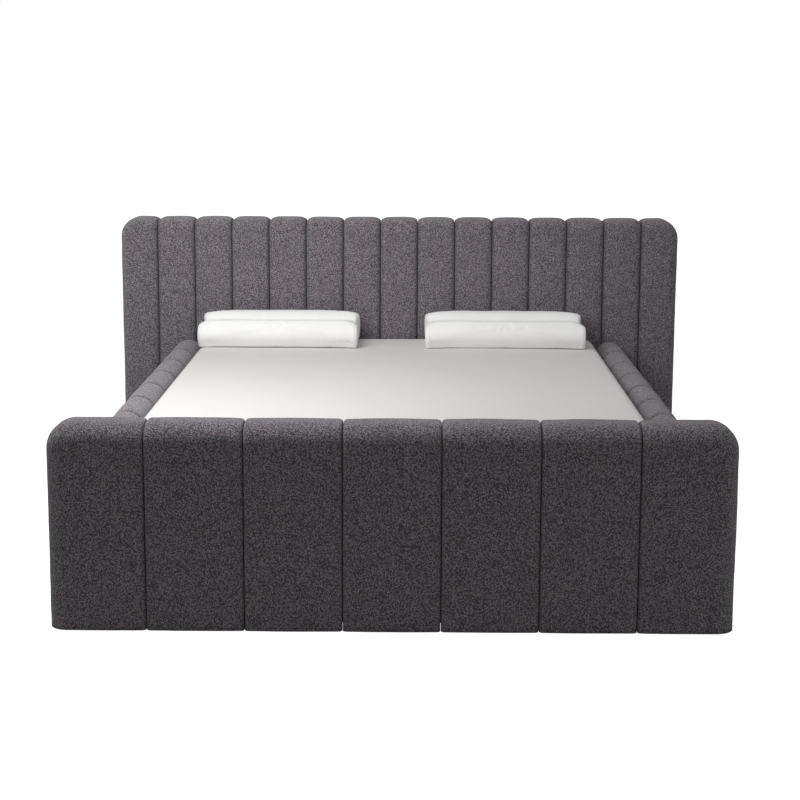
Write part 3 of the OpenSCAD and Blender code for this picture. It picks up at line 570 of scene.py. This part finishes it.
def panel_channels(prefix, node_name, count, corner, front_roll, back_roll, seam, seam_roll):
    """All the channels of the headboard or the footboard."""
    padding, _, _ = settings()
    low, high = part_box(node_name)
    half = high.x + 0.002
    plan = ChannelPlan(0.002, high.z, high.y - low.y, half, corner, front_roll, back_roll, 0.018,
                       seam, seam_roll, padding.puff)
    pitch = 2 * half / count
    stitch = 0.0006
    place = Matrix.Translation((0, low.y, 0))
    for i in range(count):
        side = LEFT if i == 0 else RIGHT if i == count - 1 else 0
        x0 = -half + i * pitch + (0 if side == LEFT else stitch)
        x1 = -half + (i + 1) * pitch - (0 if side == RIGHT else stitch)
        pad_piece(channel_mesh(plan, x0, x1, side, i + 1), f"{prefix}_{i + 1:02d}", place, padding, node_name)


class BED_OT_headboard(bpy.types.Operator):
    """Build the headboard's fifteen upright channels"""

    bl_idname = "bed.headboard"
    bl_label = "Headboard channels"

    def execute(self, context):
        padding, _, _ = settings()
        panel_channels("headboard_channel", "headboard_channels", 15, 0.075, 0.040, 0.018,
                       padding.head_seam, padding.head_roll)
        return {"FINISHED"}


class BED_OT_footboard(bpy.types.Operator):
    """Build the footboard's seven upright channels"""

    bl_idname = "bed.footboard"
    bl_label = "Footboard channels"

    def execute(self, context):
        padding, _, _ = settings()
        panel_channels("footboard_channel", "footboard_channels", 7, 0.078, 0.055, 0.030,
                       padding.foot_seam, padding.foot_roll)
        return {"FINISHED"}


def rise_to_footboard(bm, side, low, high):
    """Sweeps the end of a rail's roll up and out to the footboard's top."""
    inner = min(abs(low.x), abs(high.x))
    for vert in bm.verts:
        share = max(0.0, low.y + 0.20 - vert.co.y) / 0.20
        level = max(0.0, vert.co.z - low.z) / (high.z - low.z)
        outward = (abs(vert.co.x) - inner) / (high.x - low.x)
        vert.co.z += 0.062 * share ** 3 * level
        vert.co.x += side * 0.080 * share ** 3 * level * outward


class BED_OT_rails(bpy.types.Operator):
    """Build the padded channels of both side rails"""

    bl_idname = "bed.rails"
    bl_label = "Side rail channels"

    def execute(self, context):
        padding, _, _ = settings()
        for side, name in ((LEFT, "left"), (RIGHT, "right")):
            node_name = f"rail_pad_{name}"
            low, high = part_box(node_name)
            depth = high.x - low.x
            length = high.y - low.y
            height = high.z - low.z
            roll = depth / 2 - 0.001
            plan = ChannelPlan(low.z, high.z, depth, length / 2, 0.05, roll, roll, height,
                               padding.rail_seam, padding.rail_roll, padding.puff / 2)
            place = Matrix.Translation((side * max(abs(low.x), abs(high.x)), 0, 0)) @ Matrix.Rotation(
                side * math.pi / 2, 4, "Z")
            pitch = length / padding.rail_channels
            for i in range(padding.rail_channels):
                start = -length / 2 + i * pitch
                bm = channel_mesh(plan, start + 0.0004, start + pitch - 0.0004, 0, i + 40)
                bmesh.ops.transform(bm, matrix=place, verts=bm.verts[:])
                rise_to_footboard(bm, side, low, high)
                pad_piece(bm, f"rail_{name}_channel_{i + 1}", Matrix(), padding, node_name)
        return {"FINISHED"}


# ---------------------------------------------------------------- flat cloth over the panels

class BED_OT_panel_backs(bpy.types.Operator):
    """Stretch the headboard's back cloth and the footboard's inner cloth over their frames"""

    bl_idname = "bed.panel_backs"
    bl_label = "Panel backs"

    def execute(self, context):
        for node_name, slot_name, board_name in (("headboard_back_cover", "lining", "headboard_board"),
                                                 ("footboard_inner_cover", "boucle", "footboard_board")):
            low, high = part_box(node_name)
            bm = box_mesh((low.x, low.y, low.z), (high.x, high.y, high.z))
            slice_at(bm, 0, steps(low.x, high.x, 0.02))
            slice_at(bm, 2, steps(low.z, high.z, 0.02))
            radius = 0.055
            for vert in bm.verts:
                gap_x = min(vert.co.x - low.x, high.x - vert.co.x)
                gap_z = min(vert.co.z - low.z, high.z - vert.co.z)
                inset = Vector((high.x - radius if vert.co.x > 0 else low.x + radius, vert.co.y, high.z - radius))
                away = vert.co - inset
                if vert.co.z > inset.z and abs(vert.co.x) > abs(inset.x):
                    square = max(abs(away.x), abs(away.z))
                    if away.length > 1e-6:
                        vert.co = inset + away.normalized() * square
                hold = min(1.0, min(gap_x, gap_z) / 0.05)
                pull = 0.0009 * ripple(Vector((vert.co.x * 0.6, 0, vert.co.z * 2.2)), 7.0, 3)
                vert.co.y += hold * (pull - 0.0009)
            piece = finish_piece(bm, node_name.replace("_cover", "_cloth"), slot_name)
            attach(piece, "root")
            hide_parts(node_name)
        return {"FINISHED"}


# ---------------------------------------------------------------- mattress

class MattressPlan:
    """Where the mattress lies and where it folds."""

    def __init__(self):
        head_low, head_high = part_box("mattress_head")
        calf_low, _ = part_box("mattress_calf")
        hinges = {joint["name"]: Vector(joint["pos_m"]) for joint in frame["joints"] if "pos_m" in joint}
        self.low = Vector((calf_low.x, calf_low.y, calf_low.z))
        self.high = Vector((head_high.x, head_high.y, head_high.z))
        self.head, self.thigh, self.knee = hinges["head_tilt"], hinges["thigh_lift"], hinges["knee_fold"]
        self.edge = 0.032


def mattress_point(point, plan):
    """Rounds the slab's long edges and its two ends, and lets its top undulate a little."""
    gaps = {
        "side": plan.high.x - abs(point.x),
        "end": min(point.y - plan.low.y, plan.high.y - point.y),
        "top": plan.high.z - point.z,
        "bottom": point.z - plan.low.z,
    }
    centre = Vector((
        max(min(point.x, plan.high.x - plan.edge), plan.low.x + plan.edge),
        max(min(point.y, plan.high.y - plan.edge), plan.low.y + plan.edge),
        max(min(point.z, plan.high.z - plan.edge), plan.low.z + plan.edge),
    ))
    away = point - centre
    if away.length < 1e-7:
        return point
    moved = centre + away.normalized() * max(abs(part) for part in away)
    if gaps["side"] < 0.02 and gaps["top"] > 0.03:
        belly = math.sin(math.pi * min(1.0, gaps["bottom"] / (plan.high.z - plan.low.z)))
        moved.x += math.copysign(0.003 * belly + 0.0015 * ripple(point, 6.0, 4), point.x) - math.copysign(0.003, point.x)
    if gaps["top"] < 0.01:
        moved.z += 0.0022 * ripple(Vector((point.x, point.y, 0)), 3.5, 2) - 0.001
    return moved


def mattress_piece(plan, name, y0, y1):
    """One stretch of the mattress, with its cut ends flat so that the next stretch meets it exactly."""
    bm = box_mesh((plan.low.x, y0, plan.low.z), (plan.high.x, y1, plan.high.z))
    edge_places = lambda low, high: steps(low, low + plan.edge * 1.3, 0.008) + steps(
        low + plan.edge * 1.3, high - plan.edge * 1.3, 0.016) + steps(high - plan.edge * 1.3, high, 0.008)
    slice_at(bm, 0, edge_places(plan.low.x, plan.high.x))
    slice_at(bm, 2, steps(plan.low.z, plan.high.z, 0.0125))
    slice_at(bm, 1, steps(y0, y1, 0.012))
    layer = bm.verts.layers.float_vector.new("rest")
    for vert in bm.verts:
        vert.co = mattress_point(vert.co.copy(), plan)
        vert[layer] = vert.co
    for cut in (y0, y1):
        if plan.low.y + 0.01 < cut < plan.high.y - 0.01:
            caps = {face for face in bm.faces if all(abs(vert.co.y - cut) < 1e-5 for vert in face.verts)}
            for edge in bm.edges:
                if sum(face in caps for face in edge.link_faces) == 1:
                    edge.smooth = False
    piece = finish_piece(bm, name, "mattress_knit")
    return piece


class BED_OT_mattress(bpy.types.Operator):
    """Build the mattress in three stretches that bend over the deck's hinges"""

    bl_idname = "bed.mattress"
    bl_label = "Mattress"

    def execute(self, context):
        plan = MattressPlan()
        seat_cut = (plan.head.y + plan.thigh.y) / 2 - 0.045
        thigh_cut = (plan.thigh.y + plan.knee.y) / 2 - 0.02
        head = mattress_piece(plan, "mattress_head_stretch", seat_cut, plan.high.y)
        middle = mattress_piece(plan, "mattress_seat_stretch", thigh_cut, seat_cut)
        foot = mattress_piece(plan, "mattress_foot_stretch", plan.low.y, thigh_cut)
        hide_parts("mattress_head", "mattress_fold_head")
        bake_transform(head, "root", "head_section", start=(0, plan.head.y - 0.20, plan.head.z),
                 end=(0, plan.head.y + 0.34, plan.head.z))
        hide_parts("mattress_seat", "mattress_fold_thigh")
        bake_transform(middle, "root", "thigh_section", start=(0, plan.thigh.y + 0.11, plan.thigh.z),
                 end=(0, plan.thigh.y - 0.18, plan.thigh.z))
        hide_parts("mattress_thigh", "mattress_calf")
        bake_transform(foot, "thigh_section", "calf_section", start=(0, plan.knee.y + 0.15, plan.knee.z),
                 end=(0, plan.knee.y - 0.18, plan.knee.z))
        return {"FINISHED"}


# ---------------------------------------------------------------- pillows

def inflate(piece, pressure, cap, frames=20):
    """Lets the piece's cover swell by cloth simulation, and keeps each point within the cap of where it was."""
    before = [vert.co.copy() for vert in piece.data.vertices]
    cloth = piece.modifiers.new("Swell", "CLOTH")
    cloth.settings.quality = 5
    cloth.settings.mass = 0.3
    cloth.settings.tension_stiffness = 18
    cloth.settings.compression_stiffness = 12
    cloth.settings.shear_stiffness = 8
    cloth.settings.bending_stiffness = 2.0
    cloth.settings.use_pressure = True
    cloth.settings.uniform_pressure_force = pressure
    cloth.settings.effector_weights.gravity = 0
    cloth.point_cache.frame_start = 1
    cloth.point_cache.frame_end = frames
    scene = bpy.context.scene
    for step in range(1, frames + 1):
        scene.frame_set(step)
    swollen = piece.evaluated_get(bpy.context.evaluated_depsgraph_get()).to_mesh()
    after = [vert.co.copy() for vert in swollen.vertices]
    piece.evaluated_get(bpy.context.evaluated_depsgraph_get()).to_mesh_clear()
    piece.modifiers.remove(cloth)
    for vert, old, new in zip(piece.data.vertices, before, after):
        move = new - old
        if move.length > cap:
            move *= cap / move.length
        vert.co = old + move
    scene.frame_set(1)


def apply_modifiers(piece):
    """Bakes a piece's modifiers into its mesh."""
    graph = bpy.context.evaluated_depsgraph_get()
    mesh = bpy.data.meshes.new_from_object(piece.evaluated_get(graph))
    piece.modifiers.clear()
    old = piece.data
    mesh.name = piece.name
    piece.data = mesh
    bpy.data.meshes.remove(old)


def piping(cushion, name, place):
    """A thin cord sewn round the cushion where its end gusset begins."""
    bm = bmesh.new()
    bm.from_mesh(cushion.data)
    bmesh.ops.bisect_plane(bm, geom=bm.verts[:] + bm.edges[:] + bm.faces[:], plane_co=(place, 0, 0),
                           plane_no=(1, 0, 0), clear_inner=True, clear_outer=True)
    bm.verts.ensure_lookup_table()
    path = [bm.verts[0]]
    while True:
        onward = [edge.other_vert(path[-1]) for edge in path[-1].link_edges]
        onward = [vert for vert in onward if vert not in path[-2:]]
        if not onward or onward[0] is path[0]:
            break
        path.append(onward[0])
    route = bpy.data.curves.new(name, "CURVE")
    route.dimensions = "3D"
    route.bevel_depth = 0.0016
    route.bevel_resolution = 2
    spline = route.splines.new("POLY")
    spline.points.add(len(path) - 1)
    for point, vert in zip(spline.points, path):
        point.co = vert.co.to_4d()
    spline.use_cyclic_u = True
    bm.free()
    cord = bpy.data.objects.new(name, route)
    bpy.context.scene.collection.objects.link(cord)
    mesh = bpy.data.meshes.new_from_object(cord.evaluated_get(bpy.context.evaluated_depsgraph_get()))
    bpy.data.objects.remove(cord)
    trim = bmesh.new()
    trim.from_mesh(mesh)
    bpy.data.meshes.remove(mesh)
    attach(finish_piece(trim, name, "pillow_knit"), "head_section")


def pillow(name, node_name, seed):
    """A contour pillow: its foam swells its knitted cover between the two end seams."""
    low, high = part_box(node_name)
    copy = bmesh.new()
    copy.from_mesh(frame["nodes"][node_name].data)
    bmesh.ops.remove_doubles(copy, verts=copy.verts[:], dist=1e-5)
    middle = (low + high) / 2
    base = Matrix.Translation(Vector((middle.x, middle.y, low.z)))
    start = Matrix.Diagonal((1.017, 0.985, 0.99, 1.0))
    bmesh.ops.transform(copy, matrix=base @ start @ base.inverted(), verts=copy.verts[:])
    piece = finish_piece(copy, name, "pillow_knit")
    remesh = piece.modifiers.new("Even", "REMESH")
    remesh.mode = "VOXEL"
    remesh.voxel_size = 0.0065
    apply_modifiers(piece)
    smooth = piece.modifiers.new("Soften", "SMOOTH")
    smooth.factor = 0.5
    smooth.iterations = 10
    apply_modifiers(piece)
    inflate(piece, 3.0, 0.008)
    for vert in piece.data.vertices:
        rise = (vert.co.z - low.z) / (high.z - low.z)
        end = max(0.0, abs(vert.co.x - middle.x) / (high.x - low.x) * 2 - 0.82) / 0.18
        vert.co += Vector((0, 0, 1)) * rise * (0.0022 * ripple(vert.co, 9.0, seed) - 0.004 * end * end)
        vert.co.z = max(vert.co.z, low.z + 0.0003)
    for face in piece.data.polygons:
        face.use_smooth = True
    piece.data.materials.clear()
    piece.data.materials.append(finish("pillow_knit"))
    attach(piece, "head_section")
    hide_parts(node_name)
    half = max(abs(vert.co.x - middle.x) for vert in piece.data.vertices)
    for side, label in ((LEFT, "left"), (RIGHT, "right")):
        piping(piece, f"{name}_piping_{label}", middle.x + side * (half - 0.017))


class BED_OT_pillows(bpy.types.Operator):
    """Build the two contour pillows"""

    bl_idname = "bed.pillows"
    bl_label = "Pillows"

    def execute(self, context):
        pillow("pillow_left_cushion", "pillow_left", 1)
        pillow("pillow_right_cushion", "pillow_right", 2)
        return {"FINISHED"}


# ---------------------------------------------------------------- finishes on the frame

class BED_OT_frame_finishes(bpy.types.Operator):
    """Give every part of the frame its paint, metal, timber, plastic or cloth"""

    bl_idname = "bed.frame_finishes"
    bl_label = "Frame finishes"

    def execute(self, context):
        slots = {row["node"]: row["material_slot"] for row in frame["record"]["subparts"]}
        for name, part in frame["nodes"].items():
            part.data.materials.clear()
            part.data.materials.append(finish(slots[name]))
        return {"FINISHED"}


# ---------------------------------------------------------------- stage

def area_light(name, place, target, size, power, colour=(1, 1, 1)):
    light = bpy.data.lights.new(name, "AREA")
    light.shape = "RECTANGLE"
    light.size, light.size_y = size
    light.energy = power
    light.color = colour
    lamp = bpy.data.objects.new(name, light)
    lamp.location = place
    lamp.visible_camera = False
    lamp.rotation_euler = (Vector(target) - Vector(place)).to_track_quat("-Z", "Y").to_euler()
    bpy.context.scene.collection.objects.link(lamp)
    return lamp


def studio_world(light, backdrop):
    """A white backdrop that lights the room more softly than it looks."""
    world = bpy.data.worlds.new("studio")
    world.use_nodes = True
    tree = world.node_tree
    tree.nodes["Background"].inputs["Strength"].default_value = light
    white = node(tree, "ShaderNodeBackground", Strength=backdrop)
    mix = node(tree, "ShaderNodeMixShader", [(1, tree.nodes["Background"].outputs[0]), (2, white.outputs[0])])
    tree.nodes["Background"].inputs["Color"].default_value = (1, 1, 1, 1)
    white.inputs["Color"].default_value = (1, 1, 1, 1)
    tree.links.new(node(tree, "ShaderNodeLightPath").outputs["Is Camera Ray"], mix.inputs[0])
    tree.links.new(mix.outputs[0], tree.nodes["World Output"].inputs["Surface"])
    return world


class BED_OT_stage(bpy.types.Operator):
    """Set up the floor, the light and the camera"""

    bl_idname = "bed.stage"
    bl_label = "Stage"

    def execute(self, context):
        _, _, stage = settings()
        scene = context.scene
        bm = bmesh.new()
        bmesh.ops.create_grid(bm, x_segments=2, y_segments=2, size=30.0)
        mesh = bpy.data.meshes.new("floor")
        bm.to_mesh(mesh)
        bm.free()
        floor = bpy.data.objects.new("floor", mesh)
        scene.collection.objects.link(floor)
        paper = bpy.data.materials.new("floor_paper")
        paper.use_nodes = True
        tree = paper.node_tree
        shader = tree.nodes["Principled BSDF"]
        shader.inputs["Base Color"].default_value = (0.35, 0.35, 0.35, 1)
        shader.inputs["Roughness"].default_value = 1.0
        shader.inputs["Emission Color"].default_value = (1, 1, 1, 1)
        lift = node(tree, "ShaderNodeMath", [(0, node(tree, "ShaderNodeLightPath").outputs["Is Camera Ray"])],
                    operation="MULTIPLY")
        lift.inputs[1].default_value = 1.0
        tree.links.new(lift.outputs[0], shader.inputs["Emission Strength"])
        mesh.materials.append(paper)
        scene.world = studio_world(0.36, 1.0)
        scene.view_settings.view_transform = "Standard"
        area_light("overhead", (-1.2, -0.6, 2.8), (0.0, 0.6, 0.4), (1.8, 1.2), 25.0)
        area_light("key", (-0.9, -0.95, 1.55), (-0.3, 1.0, 0.6), (1.2, 0.6), 19.0)
        area_light("fill", (2.5, -0.8, 2.8), (0.0, 0.3, 0.4), (1.5, 1.5), 8.0)
        camera = bpy.data.cameras.new("camera")
        camera.lens = stage.lens
        camera.sensor_width = 36.0
        camera.clip_end = 100.0
        eye = bpy.data.objects.new("camera", camera)
        eye.location = stage.eye
        aim = (Matrix.Rotation(stage.turn, 3, "Z") @ Matrix.Rotation(math.pi / 2 - stage.tilt, 3, "X")
               @ Matrix.Rotation(stage.roll, 3, "Z"))
        eye.rotation_euler = aim.to_euler()
        scene.collection.objects.link(eye)
        scene.camera = eye
        return {"FINISHED"}


# ---------------------------------------------------------------- add-on

class BED_PT_panel(bpy.types.Panel):
    """The bed's sizes, colours and build steps"""

    bl_idname = "BED_PT_panel"
    bl_label = "Adjustable bed"
    bl_space_type = "VIEW_3D"
    bl_region_type = "UI"
    bl_category = "Bed"

    def draw(self, context):
        for group in settings():
            box = self.layout.box()
            for key in group.__annotations__:
                box.prop(group, key)
        for operator in OPERATORS:
            self.layout.operator(operator.bl_idname)


GROUPS = (BedPadding, BedColours, BedStage)
OPERATORS = (BED_OT_stage, BED_OT_frame_finishes, BED_OT_headboard, BED_OT_footboard, BED_OT_rails,
             BED_OT_panel_backs, BED_OT_mattress, BED_OT_pillows)
POINTERS = {"bed_padding": BedPadding, "bed_colours": BedColours, "bed_stage": BedStage}


def register():
    for cls in GROUPS + OPERATORS + (BED_PT_panel,):
        bpy.utils.register_class(cls)
    for name, cls in POINTERS.items():
        setattr(bpy.types.Scene, name, bpy.props.PointerProperty(type=cls))


def unregister():
    for name in POINTERS:
        delattr(bpy.types.Scene, name)
    for cls in reversed(GROUPS + OPERATORS + (BED_PT_panel,)):
        bpy.utils.unregister_class(cls)


def main():
    register()
    build_materials()
    for operator in OPERATORS:
        getattr(bpy.ops.bed, operator.bl_idname.split(".")[1])()


if __name__ == "__main__":
    main()
